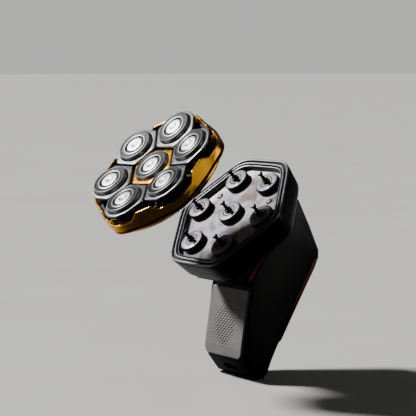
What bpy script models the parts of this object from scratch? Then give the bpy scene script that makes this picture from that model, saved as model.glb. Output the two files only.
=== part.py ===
"""Cordless rotary head shaver with its seven-head cutter cartridge lifted off the drive deck.

The shaver stands on the flat foot under its kinked handle.  +Z is up, -Y is the side the drive
deck and the grip pad face, and the origin is the centre of the foot on the floor.  Lengths below
are in millimetres and are turned into metres where vertices are made.

Three nested frames carry the parts: the deck frame (tilted, its +Z is the spindles' axis), the
cartridge frame (lifted and turned from the deck), and one frame for each shaving head.
"""
import math

import bmesh
import bpy
from mathutils import Matrix, Vector

MM = 0.001

# ---- driving dimensions, mm and degrees -----------------------------------------------------
GAP = 0.3                       # running gap between touching pieces

DECK_CENTRE = (0.0, -8.0, 79.0)  # top of the centre spindle's bush
DECK_TILT = 45.0                # deck normal leans this far forward of vertical
HEAD_PITCH = 22.0               # spindle to spindle
HEAD_TILT = 5.0                 # the outer heads lean towards the middle
HEAD_ANGLES = [0, 60, 120, 180, 240, 300]

RIM_APOTHEM_SIDE = 30.7         # hexagonal rim: centre to the four slanted sides
RIM_APOTHEM_END = 32.4          # and to the top and bottom sides
RIM_SHARPNESS = 14              # higher gives sharper corners
RIM_POINTS = 36

POD_WALL = 1.5
POD_TAPER = 2.2                 # the pod narrows this much from rim to floor
POD_TOP = -1.3
POD_BOTTOM = -15.0
POD_FLOOR = -13.2
MOTOR_HOLE_R = 3.2

DECK_FLOOR = -3.2               # recessed floor that the bushes stand on
DECK_UNDERSIDE = -5.0
BUSH_R = 6.1
BUSH_SPIGOT_R = 3.2
SHAFT_R = 0.9
BORE_R = 1.3
TIP_HEIGHT = 5.85               # spindle tip above the bush
SCREW_RADIUS = 20.4             # deck screws, from the deck's centre
SCREW_ANGLES = [30, 150]

CENTRE_TEETH = 30
OUTER_TEETH = 13
GEAR_MODULE = 2 * HEAD_PITCH / (CENTRE_TEETH + OUTER_TEETH)
GEAR_LOW = -10.6
GEAR_HIGH = -7.4

LIFT = 37.9                     # cartridge shown this far off the deck, along the spindles
LIFT_SHIFT = 15.4               # and this far towards the deck's lower end
TWIST = 34.2                    # and turned by this angle

HEAD_BASE = 6.0                 # height of each head frame's origin above the deck
CAP_TOP = 6.6                   # top of an outer cutter cap above that origin
CENTRE_CAP_TOP = 4.9
CAP_R = 8.5
CAP_DEPTH = 3.2
PLATE_APOTHEM = 10.2            # flat sides of a head plate
PLATE_ROUND = 10.5              # round side of an outer head plate
PLATE_STEP = 1.7                # the cap stands this far above its plate
PLATE_DEPTH = 2.6

BAND_INNER_R = 29.8             # gilded band round the cartridge
BAND_R = 32.0
BAND_TOP = 6.6                  # its top edge below the heads
PILLAR_TOP = 10.0               # and between them
PILLAR_HALF_ANGLE = 8.0
CUP_SWELL = 2.2                 # how far the band swells out under a head
ROUND_SEGMENTS = 16

HANDLE_HALF = 13.6              # half width of the handle shell
PANEL_LOW = 13.9
PANEL_HIGH = 14.8
WALL = 2.0
COVER_HALF = 10.4
COVER_THICK = 1.8
PAD_THICK = 1.3
PAD_HALF = 13.5
FOOT_THICK = 1.1
FOOT_HALF = 11.8

# Handle side view as (y, z) from the deck centre.  Front runs up, back runs down.
FLOOR = -DECK_CENTRE[2]
SHELL_BOTTOM = FLOOR + FOOT_THICK + GAP
NECK_FRONT = (-9.8, -31.9)      # where the handle meets the pod's underside
NECK_BACK = (28.4, 6.3)
BACK_LINE = [(32.2, 4.4), (39.2, -8.2), (45.4, -20.6), (45.3, -24.8), (33.0, -43.3),
             (25.2, -55.3), (19.0, -64.6), (15.4, -71.0)]
HEEL = (12.4, SHELL_BOTTOM)
TOE = (4.4, SHELL_BOTTOM)
CHIN = (-2.3, -69.0)            # top of the sloping chin that holds the charging port
FRONT_LINE = [(-2.1, -63.5), (-1.7, -60.5), (0.6, -47.0), (3.3, -34.6)]

MOTOR_R = 10.2
MOTOR_TOP = -17.3
MOTOR_LENGTH = 23.5
BATTERY_R = 6.2
BATTERY_LENGTH = 26.0
BATTERY_CENTRE = (12.0, -53.0)
BATTERY_LEAN = 19.2

PORT_CENTRE = (1.0, -73.6)
PORT_SIZE = (9.0, 3.4)

BUTTON_R = 4.2
BUTTON_PLACE = 0.42             # fraction of the way down the long back edge
DISPLAY_SIZE = (10.0, 8.0)


# ---- scene and mesh helpers -------------------------------------------------------------------
def clear_scene():
    for item in list(bpy.data.objects):
        bpy.data.objects.remove(item, do_unlink=True)


def material(name, colour, roughness, metallic=0.0):
    made = bpy.data.materials.new(name)
    made.use_nodes = True
    shader = made.node_tree.nodes["Principled BSDF"]
    shader.inputs["Base Color"].default_value = (*colour, 1.0)
    shader.inputs["Roughness"].default_value = roughness
    shader.inputs["Metallic"].default_value = metallic
    return made


def empty(name, parent=None, matrix=Matrix()):
    made = bpy.data.objects.new(name, None)
    bpy.context.collection.objects.link(made)
    made.parent = parent
    made.matrix_local = matrix
    return made


def placed(x=0.0, y=0.0, z=0.0):
    return Matrix.Translation(Vector((x, y, z)) * MM)


def turned(degrees, axis):
    return Matrix.Rotation(math.radians(degrees), 4, axis)


def add_object(name, bm, mat, parent=None, matrix=Matrix(), smooth=False):
    bmesh.ops.recalc_face_normals(bm, faces=bm.faces)
    mesh = bpy.data.meshes.new(name)
    bm.to_mesh(mesh)
    bm.free()
    if mat:
        mesh.materials.append(mat)
    if smooth:
        mesh.shade_smooth()
        mesh.set_sharp_from_angle(angle=math.radians(35))
    made = bpy.data.objects.new(name, mesh)
    bpy.context.collection.objects.link(made)
    made.parent = parent
    made.matrix_local = matrix
    return made


def loft(rings, closed):
    """Skin a list of equal-length point rings; closed joins the last ring to the first."""
    bm = bmesh.new()
    rows = [[bm.verts.new(Vector(p) * MM) for p in ring] for ring in rings]
    pairs = list(zip(rows, rows[1:]))
    if closed:
        pairs.append((rows[-1], rows[0]))
    else:
        bm.faces.new(rows[0])
        bm.faces.new(rows[-1])
    count = len(rows[0])
    for low, high in pairs:
        for i in range(count):
            j = (i + 1) % count
            bm.faces.new((low[i], low[j], high[j], high[i]))
    return bm


def turned_solid(profile, closed, segments=ROUND_SEGMENTS):
    """Turn (radius, height) points about Z; an open profile is capped at both ends."""
    def ring(radius, height):
        steps = [2 * math.pi * i / segments for i in range(segments)]
        return [(radius * math.cos(a), radius * math.sin(a), height) for a in steps]
    return loft([ring(r, z) for r, z in profile], closed)


def prism_z(outline, low, high):
    return loft([[(x, y, z) for x, y in outline] for z in (low, high)], False)


def prism_x(outline, low, high):
    """Extrude a (y, z) outline, given from the deck centre, across the handle."""
    return loft([[(x, y, z) for y, z in outline] for x in (low, high)], False)


def box(size, centre=(0, 0, 0)):
    x, y, z = (side / 2 for side in size)
    outline = [(-x, -y), (x, -y), (x, y), (-x, y)]
    ring = [(centre[0] + a, centre[1] + b) for a, b in outline]
    return prism_z(ring, centre[2] - z, centre[2] + z)


def combine(target, other, operation="DIFFERENCE"):
    """Boolean another object into the target and leave the other as a hidden guide."""
    modifier = target.modifiers.new(operation.lower(), "BOOLEAN")
    modifier.operation = operation
    modifier.object = other
    modifier.solver = "EXACT"
    other.hide_render = True
    other.display_type = "WIRE"


def bevel(target, width, segments=1, angle=40):
    modifier = target.modifiers.new("bevel", "BEVEL")
    modifier.width = width * MM
    modifier.segments = segments
    modifier.limit_method = "ANGLE"
    modifier.angle_limit = math.radians(angle)


# ---- outlines ---------------------------------------------------------------------------------
def soft_polygon_radius(angle, sides, sharpness):
    """Polar radius of a polygon with rounded corners; sides are (normal angle, apothem)."""
    total = 0.0
    for normal, apothem in sides:
        reach = math.cos(angle - math.radians(normal)) / apothem
        if reach > 0:
            total += reach ** sharpness
    return total ** (-1 / sharpness)


def rim_ring(inset, height):
    sides = [(30, RIM_APOTHEM_SIDE), (90, RIM_APOTHEM_END), (150, RIM_APOTHEM_SIDE),
             (210, RIM_APOTHEM_SIDE), (270, RIM_APOTHEM_END), (330, RIM_APOTHEM_SIDE)]
    sides = [(normal, apothem - inset) for normal, apothem in sides]
    ring = []
    for i in range(RIM_POINTS):
        angle = 2 * math.pi * i / RIM_POINTS
        radius = soft_polygon_radius(angle, sides, RIM_SHARPNESS)
        ring.append((radius * math.cos(angle), radius * math.sin(angle), height))
    return ring


def circle_ring(radius, height, count):
    steps = [2 * math.pi * i / count for i in range(count)]
    return [(radius * math.cos(a), radius * math.sin(a), height) for a in steps]


def offset_outline(points, distances):
    """Move each edge of a clockwise outline inwards by its own distance."""
    count = len(points)
    lines = []
    for i in range(count):
        start = Vector(points[i])
        along = (Vector(points[(i + 1) % count]) - start).normalized()
        inward = Vector((along.y, -along.x))
        lines.append((start + inward * distances[i], along))
    moved = []
    for i in range(count):
        (a, da), (b, db) = lines[i - 1], lines[i]
        cross = da.x * db.y - da.y * db.x
        step = ((b.x - a.x) * db.y - (b.y - a.y) * db.x) / cross
        moved.append(tuple(a + da * step))
    return moved


def gear_outline(teeth, phase):
    """Straight-sided teeth, thinner than the gaps so that meshed gears keep some backlash."""
    pitch_r = GEAR_MODULE * teeth / 2
    root_r = pitch_r - 1.2 * GEAR_MODULE
    tip_r = pitch_r + 0.75 * GEAR_MODULE
    step = 2 * math.pi / teeth
    outline = []
    for tooth in range(teeth):
        middle = phase + tooth * step
        for radius, share in ((root_r, -0.27), (tip_r, -0.12), (tip_r, 0.12), (root_r, 0.27)):
            angle = middle + share * step
            outline.append((radius * math.cos(angle), radius * math.sin(angle)))
    return outline


# ---- handle -----------------------------------------------------------------------------------
def handle_outline():
    return [NECK_FRONT, NECK_BACK, *BACK_LINE, HEEL, TOE, CHIN, *FRONT_LINE]


def back_edge_frame(start, end, share):
    """Frame on a back edge: +Z out of the handle, +X across it, +Y down the edge."""
    low, high = Vector(start), Vector(end)
    point = low.lerp(high, share)
    along = (high - low).normalized()
    out = Vector((-along.y, along.x))
    z_axis = Vector((0, out.x, out.y))
    y_axis = Vector((0, along.x, along.y))
    x_axis = y_axis.cross(z_axis)
    frame = Matrix((x_axis, y_axis, z_axis)).transposed().to_4x4()
    frame.translation = Vector((0, *point)) * MM
    return frame


def chin_frame():
    """Frame on the sloping chin: +Z out of the handle, +X across it."""
    along = (Vector(TOE) - Vector(CHIN)).normalized()
    z_axis = Vector((0, along.y, -along.x))
    x_axis = Vector((1, 0, 0))
    y_axis = z_axis.cross(x_axis)
    frame = Matrix((x_axis, y_axis, z_axis)).transposed().to_4x4()
    frame.translation = Vector((0, *PORT_CENTRE)) * MM
    return frame


def build_handle(body, mats):
    outline = handle_outline()
    shell = add_object("handle_shell", prism_x(outline, -HANDLE_HALF, HANDLE_HALF),
                       mats["shell"], body)
    bevel(shell, 1.4)

    open_top = [-2.0] + [WALL] * (len(outline) - 1)
    cavity = add_object("cut_cavity", prism_x(offset_outline(outline, open_top),
                                              -HANDLE_HALF + WALL, HANDLE_HALF - WALL),
                        None, body)
    combine(shell, cavity)

    back = [(BACK_LINE[0][0], BACK_LINE[0][1] + 8.0), *BACK_LINE]
    outside = [(y + 3.0, z) for y, z in back]
    inside = [(y - 3.4, z) for y, z in back]
    slot_half = COVER_HALF + GAP
    slot = add_object("cut_back_slot", prism_x(outside + inside[::-1], -slot_half, slot_half),
                      None, body)
    combine(shell, slot)

    port = add_object("cut_port", box((*PORT_SIZE, 9.0)), None, body, chin_frame())
    combine(shell, port)
    return shell


def build_back_cover(body, mats):
    outline = handle_outline()
    last = len(BACK_LINE)
    inside = offset_outline(outline, [COVER_THICK] * len(outline))
    top_out = (30.6, 5.6)
    top_in = (29.6, 3.9)
    tail_out = tuple(Vector(BACK_LINE[-2]).lerp(Vector(BACK_LINE[-1]), 0.86))
    tail_in = tuple(Vector(inside[last]).lerp(Vector(inside[last + 1]), 0.45))
    rim = [top_out, *BACK_LINE[:-1], tail_out, tail_in, *inside[last:1:-1], top_in]
    cover = add_object("back_cover", prism_x(rim, -COVER_HALF, COVER_HALF), mats["shell"], body)

    button_frame = back_edge_frame(BACK_LINE[3], BACK_LINE[4], BUTTON_PLACE)
    hole = add_object("cut_button", turned_solid([(BUTTON_R + GAP, -4), (BUTTON_R + GAP, 4)],
                                                 False), None, body, button_frame)
    combine(cover, hole)
    display_frame = back_edge_frame(BACK_LINE[1], BACK_LINE[2], 0.5)
    recess = add_object("cut_display", box((DISPLAY_SIZE[0] + 2 * GAP,
                                            DISPLAY_SIZE[1] + 2 * GAP, 2.0)),
                        None, body, display_frame)
    combine(cover, recess)

    add_object("display_window", box((*DISPLAY_SIZE, 0.7), (0, 0, -0.35)),
               mats["window"], body, display_frame)
    button = [(BUTTON_R - 1.4, -2.6), (BUTTON_R, -1.6), (BUTTON_R, 0.3), (BUTTON_R - 0.5, 0.8)]
    add_object("power_button", turned_solid(button, False), mats["accent"], body,
               button_frame, smooth=True)


def panel_outline():
    return [(26.2, -2.2), (35.0, -8.6), (40.6, -21.0), (40.4, -24.2), (28.9, -42.0),
            (21.1, -54.4), (15.0, -64.8), (11.5, -71.8), (7.6, -74.2), (2.6, -72.0),
            (-1.0, -67.0), (-1.8, -61.6), (-0.8, -53.3), (0.8, -44.2), (1.7, -37.4),
            (3.1, -31.1), (6.7, -25.4), (12.7, -18.5), (19.0, -12.2)]


def neck_trim_outline():
    return [(17.4, -13.6), (11.6, -19.2), (5.7, -25.9), (2.4, -31.2), (1.9, -33.2),
            (-0.9, -32.4), (-1.6, -30.8), (4.8, -24.4), (11.0, -18.6), (16.4, -13.3)]


def back_trim_outline():
    return [(41.2, -23.6), (43.6, -25.0), (31.9, -42.8), (24.1, -54.9), (19.3, -62.4),
            (17.7, -60.8), (21.9, -54.0), (29.6, -41.8)]


def build_sides(body, mats):
    for side, name in ((-1, "left"), (1, "right")):
        low, high = sorted((side * PANEL_LOW, side * PANEL_HIGH))
        panel = add_object(f"side_panel_{name}", prism_x(panel_outline(), low, high),
                           mats["panel"], body)
        bevel(panel, 0.35)
        add_object(f"neck_trim_{name}", prism_x(neck_trim_outline(), low, high),
                   mats["accent"], body)
        add_object(f"back_trim_{name}", prism_x(back_trim_outline(), low, high),
                   mats["accent"], body)


def build_grip_and_foot(body, mats):
    """The pad lies on the handle's front face and keeps a gap to it and to the chin."""
    back = offset_outline(handle_outline(), [-GAP] * len(handle_outline()))
    front = offset_outline(handle_outline(), [-GAP - PAD_THICK] * len(handle_outline()))
    first = len(handle_outline()) - len(FRONT_LINE)
    low_back = tuple(Vector(back[first - 1]).lerp(Vector(back[first]), 0.1))
    low_front = tuple(Vector(front[first - 1]).lerp(Vector(front[first]), 0.1))
    top_back = tuple(Vector(back[-2]).lerp(Vector(back[-1]), 0.87))
    top_front = tuple(Vector(front[-2]).lerp(Vector(front[-1]), 0.85))
    outline = [low_back, *back[first:-1], top_back, top_front, *front[first:-1][::-1],
               low_front]
    pad = add_object("grip_pad", prism_x(outline, -PAD_HALF, PAD_HALF),
                     mats["grip"], body)
    bevel(pad, 0.5)

    sole = [(TOE[0] - 0.6, FLOOR), (HEEL[0] + 0.2, FLOOR), (HEEL[0], FLOOR + FOOT_THICK),
            (TOE[0], FLOOR + FOOT_THICK)]
    add_object("foot_pad", prism_x(sole, -FOOT_HALF, FOOT_HALF), mats["rubber"], body)


def build_charging_socket(body, mats):
    """A metal socket shell, open towards the port and closed behind."""
    width, height = PORT_SIZE[0] - 2 * GAP, PORT_SIZE[1] - 2 * GAP
    socket = add_object("charging_socket", box((width, height, 5.0), (0, 0, -3.3)),
                        mats["steel"], body, chin_frame())
    mouth = add_object("cut_socket", box((width - 0.8, height - 0.8, 5.0), (0, 0, -2.6)),
                       None, body, chin_frame())
    combine(socket, mouth)


def build_internals(body, deck, mats):
    low = MOTOR_TOP - MOTOR_LENGTH
    motor = [(1.5, MOTOR_TOP - 5), (1.5, MOTOR_TOP + 1.2), (3.0, MOTOR_TOP + 1.2),
             (3.0, MOTOR_TOP), (MOTOR_R - 0.6, MOTOR_TOP), (MOTOR_R, MOTOR_TOP - 0.6),
             (MOTOR_R, low + 0.6), (MOTOR_R - 0.6, low)]
    add_object("motor", turned_solid(motor, False), mats["steel"], deck, smooth=True)

    half = BATTERY_LENGTH / 2
    cell = [(BATTERY_R - 0.5, -half), (BATTERY_R, -half + 0.5), (BATTERY_R, half - 0.5),
            (BATTERY_R - 0.5, half), (2.6, half), (2.6, half + 0.9)]
    frame = placed(0, *BATTERY_CENTRE) @ turned(-BATTERY_LEAN, "X")
    add_object("battery", turned_solid(cell, False), mats["cell"], body, frame, smooth=True)

    board = [(30.0, -8.0), (35.5, -20.0), (22.0, -40.0), (14.0, -36.0), (12.0, -26.0)]
    add_object("circuit_board", prism_x(board, MOTOR_R + GAP, MOTOR_R + 0.9), mats["board"],
               body)


# ---- drive head -------------------------------------------------------------------------------
def build_pod(deck, mats):
    def wall(inset, height):
        taper = POD_TAPER * (POD_TOP - height) / (POD_TOP - POD_BOTTOM + 2.5)
        return rim_ring(inset + taper, height)
    rings = [rim_ring(0.35, POD_TOP), wall(0.0, POD_TOP - 1.0), wall(0.0, POD_BOTTOM + 2.5),
             rim_ring(POD_TAPER + 2.2, POD_BOTTOM),
             circle_ring(MOTOR_HOLE_R, POD_BOTTOM, RIM_POINTS),
             circle_ring(MOTOR_HOLE_R, POD_FLOOR, RIM_POINTS),
             rim_ring(POD_TAPER + POD_WALL + 1.6, POD_FLOOR),
             wall(POD_WALL, POD_FLOOR + 1.4), wall(POD_WALL, POD_TOP)]
    add_object("pod_housing", loft(rings, True), mats["shell"], deck)


def build_deck(deck, mats):
    """Tray with a flange that caps the pod's wall, a gasket groove and seven bush holes."""
    rings = [rim_ring(0.0, POD_TOP + GAP), rim_ring(0.0, -0.35), rim_ring(0.35, 0.0),
             rim_ring(1.5, 0.0), rim_ring(1.5, -0.5), rim_ring(2.5, -0.5), rim_ring(2.5, 0.0),
             rim_ring(4.0, 0.0), rim_ring(4.3, DECK_FLOOR)]
    top = loft(rings + [rim_ring(3.0, DECK_UNDERSIDE), rim_ring(2.2, DECK_UNDERSIDE),
                        rim_ring(2.2, POD_TOP + GAP)], True)
    plate = add_object("deck_plate", top, mats["deck"], deck)
    floor = add_object("join_deck_floor",
                       loft([rim_ring(3.2, DECK_UNDERSIDE), rim_ring(3.2, DECK_FLOOR)], False),
                       None, deck)
    combine(plate, floor, "UNION")
    for number, (x, y) in enumerate(head_places()):
        cutter = add_object(f"cut_bush_{number}",
                            turned_solid([(BUSH_SPIGOT_R + GAP, -8), (BUSH_SPIGOT_R + GAP, 2)],
                                         False, 16), None, deck, placed(x, y))
        combine(plate, cutter)

    gasket = [rim_ring(1.5 + GAP, -0.5 + GAP), rim_ring(1.5 + GAP, 0.1),
              rim_ring(2.5 - GAP, 0.1), rim_ring(2.5 - GAP, -0.5 + GAP)]
    add_object("deck_gasket", loft(gasket, True), mats["rubber"], deck)

    for number, angle in enumerate(SCREW_ANGLES, 1):
        x = SCREW_RADIUS * math.cos(math.radians(angle))
        y = SCREW_RADIUS * math.sin(math.radians(angle))
        head = [(1.5, DECK_FLOOR + GAP), (1.5, DECK_FLOOR + 0.9), (1.1, DECK_FLOOR + 1.2)]
        screw = add_object(f"deck_screw_{number}", turned_solid(head, False, 12),
                           mats["steel"], deck, placed(x, y), smooth=True)
        slot = add_object(f"cut_screw_{number}", box((0.5, 4.0, 0.8), (0, 0, DECK_FLOOR + 1.2)),
                          None, deck, placed(x, y) @ turned(35, "Z"))
        combine(screw, slot)


def head_places():
    """Centre first, then the six outer spindles."""
    ring = [(HEAD_PITCH * math.cos(math.radians(a)), HEAD_PITCH * math.sin(math.radians(a)))
            for a in HEAD_ANGLES]
    return [(0.0, 0.0), *ring]


def fishtail():
    """Blade at a spindle's tip, as an outline across the shaft, split by a notch."""
    top = TIP_HEIGHT
    return [(-0.7, top - 2.6), (0.7, top - 2.6), (0.8, top - 1.5), (1.3, top - 0.2),
            (1.0, top), (0.0, top - 0.7), (-1.0, top), (-1.3, top - 0.2), (-0.8, top - 1.5)]


def build_spindles(deck, mats):
    tooth_step = 2 * math.pi / OUTER_TEETH
    for number, (x, y) in enumerate(head_places()):
        centre = number == 0
        axis = empty(f"spindle_axis_{number}", deck, placed(x, y))
        bush = [(BORE_R, 0.0), (BUSH_R - 0.3, 0.0), (BUSH_R, -0.3), (BUSH_R, DECK_FLOOR + GAP),
                (BUSH_SPIGOT_R, DECK_FLOOR + GAP), (BUSH_SPIGOT_R, -5.6), (BORE_R, -5.6)]
        add_object(f"spindle_bush_{number}", turned_solid(bush, True), mats["deck"], axis,
                   smooth=True)

        foot = -21.0 if centre else -12.5
        shaft = [(SHAFT_R, foot), (SHAFT_R, GAP), (1.6, GAP), (1.6, 1.3), (1.2, 1.7),
                 (SHAFT_R, 1.9), (SHAFT_R * 0.9, TIP_HEIGHT - 1.2)]
        spindle = add_object(f"spindle_{number}", turned_solid(shaft, False, 8),
                             mats["spindle"], axis, smooth=True)
        teeth = CENTRE_TEETH if centre else OUTER_TEETH
        angle = 0.0 if centre else math.radians(HEAD_ANGLES[number - 1])
        phase = 0.0 if centre else angle + math.pi - tooth_step / 2
        gear = add_object(f"join_gear_{number}",
                          prism_z(gear_outline(teeth, phase), GEAR_LOW, GEAR_HIGH), None, axis)
        combine(spindle, gear, "UNION")
        blade = add_object(f"join_tip_{number}",
                           loft([[(a, t, b) for a, b in fishtail()] for t in (-0.5, 0.5)],
                                False), None, axis, turned(78, "Z"))
        combine(spindle, blade, "UNION")


def build_gear_plate(deck, mats):
    outline = [p[:2] for p in rim_ring(6.0, 0)]
    plate = add_object("gear_plate", prism_z(outline, POD_FLOOR + GAP, -11.4), mats["plate"], deck)
    for number, (x, y) in enumerate(head_places()):
        cutter = add_object(f"cut_gear_plate_{number}",
                            turned_solid([(BORE_R, -15), (BORE_R, -10)], False, 10), None, deck,
                            placed(x, y))
        combine(plate, cutter)


# ---- cutter cartridge -------------------------------------------------------------------------
def plate_ring(outer, swell, height, count):
    """Hexagonal plate outline; an outer head is round on the side away from the middle."""
    if outer:
        flat = {120: PLATE_APOTHEM, 180: PLATE_APOTHEM, 240: PLATE_APOTHEM}
        away = {angle: PLATE_ROUND for angle in (60, 30, 0, 330, 300)}
        sides = list({**flat, **away}.items())
        sharpness = 30
    else:
        sides = [(angle, PLATE_APOTHEM) for angle in HEAD_ANGLES]
        sharpness = 18
    ring = []
    for i in range(count):
        angle = 2 * math.pi * i / count
        radius = soft_polygon_radius(angle, sides, sharpness) + swell
        ring.append((radius * math.cos(angle), radius * math.sin(angle), height))
    return ring


def head_frames(cartridge):
    """One empty for each head: +Z is its axis, +X points away from the cartridge's middle."""
    frames = [empty("head_axis_0", cartridge, placed(0, 0, HEAD_BASE))]
    for number, angle in enumerate(HEAD_ANGLES, 1):
        matrix = turned(angle, "Z") @ placed(HEAD_PITCH, 0, HEAD_BASE) @ turned(-HEAD_TILT, "Y")
        frames.append(empty(f"head_axis_{number}", cartridge, matrix))
    return frames


def build_heads(cartridge, mats):
    for number, frame in enumerate(head_frames(cartridge)):
        outer = number > 0
        top = CAP_TOP if outer else CENTRE_CAP_TOP
        wall = CAP_R - 0.6
        cap = [(0.8, top), (4.2, top), (4.6, top - 0.5), (7.8, top - 0.2), (CAP_R, top - 0.9),
               (CAP_R, top - CAP_DEPTH), (wall, top - CAP_DEPTH), (wall, top - 0.9),
               (0.8, top - 0.9)]
        add_object(f"cutter_cap_{number}", turned_solid(cap, True, 18), mats["cap"], frame,
                   smooth=True)

        socket = [(1.7, 1.9), (1.7, 0.2), (3.8, -2.7), (4.6, -2.7)]
        cutter = [(4.6, top - 4.2), (7.0, top - 3.4), (7.0, top - 1.9)]
        add_object(f"rotor_{number}", turned_solid(socket + cutter, False, 14), mats["rotor"],
                   frame, smooth=True)

        plate = top - PLATE_STEP
        count = 24
        rings = [plate_ring(outer, -0.4, plate, count), plate_ring(outer, 0.0, plate - 0.5, count),
                 plate_ring(outer, 0.2, plate - 1.4, count),
                 plate_ring(outer, -0.9, plate - PLATE_DEPTH, count),
                 circle_ring(CAP_R + GAP, plate - PLATE_DEPTH, count),
                 circle_ring(CAP_R + GAP, plate, count)]
        finish = mats["head_plate"] if outer else mats["gold"]
        add_object(f"head_frame_{number}", loft(rings, True), finish, frame)


def build_cartridge(cartridge, mats):
    """Gilded band swelling under each outer head, with a pillar rising between each pair."""
    foot_angle = PILLAR_HALF_ANGLE + 5
    columns = []                     # angle, on a pillar or not, share of the swell
    for head in HEAD_ANGLES:
        between = head + 30
        columns += [(head - 8, False, 0.7), (head, False, 1), (head + 8, False, 0.7),
                    (between - foot_angle, False, 0),
                    (between - PILLAR_HALF_ANGLE, True, 0),
                    (between + PILLAR_HALF_ANGLE, True, 0), (between + foot_angle, False, 0)]

    def ring(radius, pillar_radius, height, pillar_height, swell=0.0):
        points = []
        for degrees, on_pillar, share in columns:
            r = pillar_radius if on_pillar else radius + swell * share
            angle = math.radians(degrees)
            points.append((r * math.cos(angle), r * math.sin(angle),
                           pillar_height if on_pillar else height))
        return points

    rings = [ring(BAND_INNER_R, BAND_INNER_R, GAP, GAP),
             ring(BAND_R - 1.3, BAND_R - 1.3, GAP, GAP),
             ring(BAND_R - 0.3, BAND_R - 0.3, 1.6, 1.6, CUP_SWELL * 0.7),
             ring(BAND_R, BAND_R, 4.2, 4.2, CUP_SWELL),
             ring(BAND_R - 0.5, BAND_R - 1.4, BAND_TOP, PILLAR_TOP, CUP_SWELL),
             ring(BAND_INNER_R, BAND_INNER_R, BAND_TOP, PILLAR_TOP)]
    add_object("cartridge_frame", loft(rings, True), mats["gold"], cartridge)

    rim_r = BAND_INNER_R - GAP - 0.1
    tray = [(rim_r, 3.3), (rim_r, BAND_TOP + 1.2), (rim_r - 1.2, BAND_TOP + 1.2),
            (rim_r - 1.2, 4.8)]
    retainer = add_object("retainer_plate", turned_solid(tray, False, 30), mats["plate"],
                          cartridge)
    for number, (x, y) in enumerate(head_places()):
        cutter = add_object(f"cut_retainer_{number}",
                            turned_solid([(5.3, 1), (5.3, 7)], False, 14), None, cartridge,
                            placed(x, y))
        combine(retainer, cutter)

    magnet = [(5.0, 0.5), (7.8, 0.5), (7.8, 2.9), (5.0, 2.9)]
    add_object("holding_magnet", turned_solid(magnet, True, 24), mats["steel"], cartridge,
               smooth=True)


# ---- assembly ---------------------------------------------------------------------------------
def make_materials():
    return {
        "shell": material("black_shell", (0.018, 0.018, 0.02), 0.42),
        "panel": material("side_panel", (0.05, 0.048, 0.045), 0.35),
        "accent": material("copper_red", (0.30, 0.06, 0.025), 0.35, 0.8),
        "grip": material("grip_grey", (0.26, 0.25, 0.25), 0.7),
        "rubber": material("black_rubber", (0.012, 0.012, 0.012), 0.8),
        "deck": material("deck_grey", (0.62, 0.61, 0.60), 0.4),
        "spindle": material("spindle_black", (0.015, 0.015, 0.017), 0.35),
        "plate": material("inner_black", (0.03, 0.03, 0.03), 0.6),
        "gold": material("gold", (0.90, 0.55, 0.12), 0.2, 1.0),
        "cap": material("cap_steel", (0.78, 0.78, 0.80), 0.2, 1.0),
        "head_plate": material("head_plate", (0.62, 0.62, 0.64), 0.35, 0.8),
        "rotor": material("rotor_steel", (0.6, 0.6, 0.6), 0.4, 1.0),
        "steel": material("steel", (0.6, 0.6, 0.6), 0.35, 1.0),
        "cell": material("cell_wrap", (0.03, 0.12, 0.3), 0.4),
        "board": material("board_green", (0.02, 0.18, 0.06), 0.5),
        "window": material("window_black", (0.01, 0.01, 0.012), 0.08),
    }


def main():
    clear_scene()
    mats = make_materials()
    body = empty("body_frame", None, placed(*DECK_CENTRE))
    deck = empty("deck_frame", body, turned(DECK_TILT, "X"))
    cartridge = empty("cartridge_lifted", deck,
                      placed(0, -LIFT_SHIFT, LIFT) @ turned(TWIST, "Z"))
    build_handle(body, mats)
    build_back_cover(body, mats)
    build_sides(body, mats)
    build_grip_and_foot(body, mats)
    build_charging_socket(body, mats)
    build_internals(body, deck, mats)
    build_pod(deck, mats)
    build_deck(deck, mats)
    build_spindles(deck, mats)
    build_gear_plate(deck, mats)
    build_heads(cartridge, mats)
    build_cartridge(cartridge, mats)
    bpy.context.view_layer.update()


main()
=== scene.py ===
"""Studio scene of a cordless rotary head shaver with its cutter cartridge lifted off the deck.

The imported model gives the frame: +Z up, -Y the side the drive deck faces, origin at the foot.
Lengths below are in millimetres and become metres where vertices are made.  Four nested frames
carry the pieces: the body, the tilted deck, the lifted cartridge and one for each shaving head.
"""
import math

import bmesh
import bpy
from mathutils import Matrix, Vector


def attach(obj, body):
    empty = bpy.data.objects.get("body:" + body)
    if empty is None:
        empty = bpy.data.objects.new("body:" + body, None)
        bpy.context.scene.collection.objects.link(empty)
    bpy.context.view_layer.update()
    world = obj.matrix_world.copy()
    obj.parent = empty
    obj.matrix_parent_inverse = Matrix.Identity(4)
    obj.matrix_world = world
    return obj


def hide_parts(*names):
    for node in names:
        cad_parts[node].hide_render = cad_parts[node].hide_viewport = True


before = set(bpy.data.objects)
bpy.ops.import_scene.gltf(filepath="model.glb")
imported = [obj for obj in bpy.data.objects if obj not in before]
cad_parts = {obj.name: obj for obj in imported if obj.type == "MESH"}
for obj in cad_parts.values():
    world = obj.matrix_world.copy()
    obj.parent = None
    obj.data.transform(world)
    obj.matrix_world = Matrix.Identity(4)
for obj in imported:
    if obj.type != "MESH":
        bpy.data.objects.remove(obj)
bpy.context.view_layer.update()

MM = 0.001

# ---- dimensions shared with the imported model, mm and degrees --------------------------------
DECK_CENTRE = (0.0, -8.0, 79.0)
DECK_TILT = 45.0
HEAD_PITCH = 22.0
HEAD_TILT = 5.0
HEADS = 7                       # number 0 in the middle, the others round it
HEAD_STEP = 60
HEAD_ANGLES = [HEAD_STEP * i for i in range(HEADS - 1)]
LIFT = 37.9
LIFT_SHIFT = 15.4
TWIST = 34.2
HEAD_BASE = 6.0
GAP = 0.3

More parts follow.
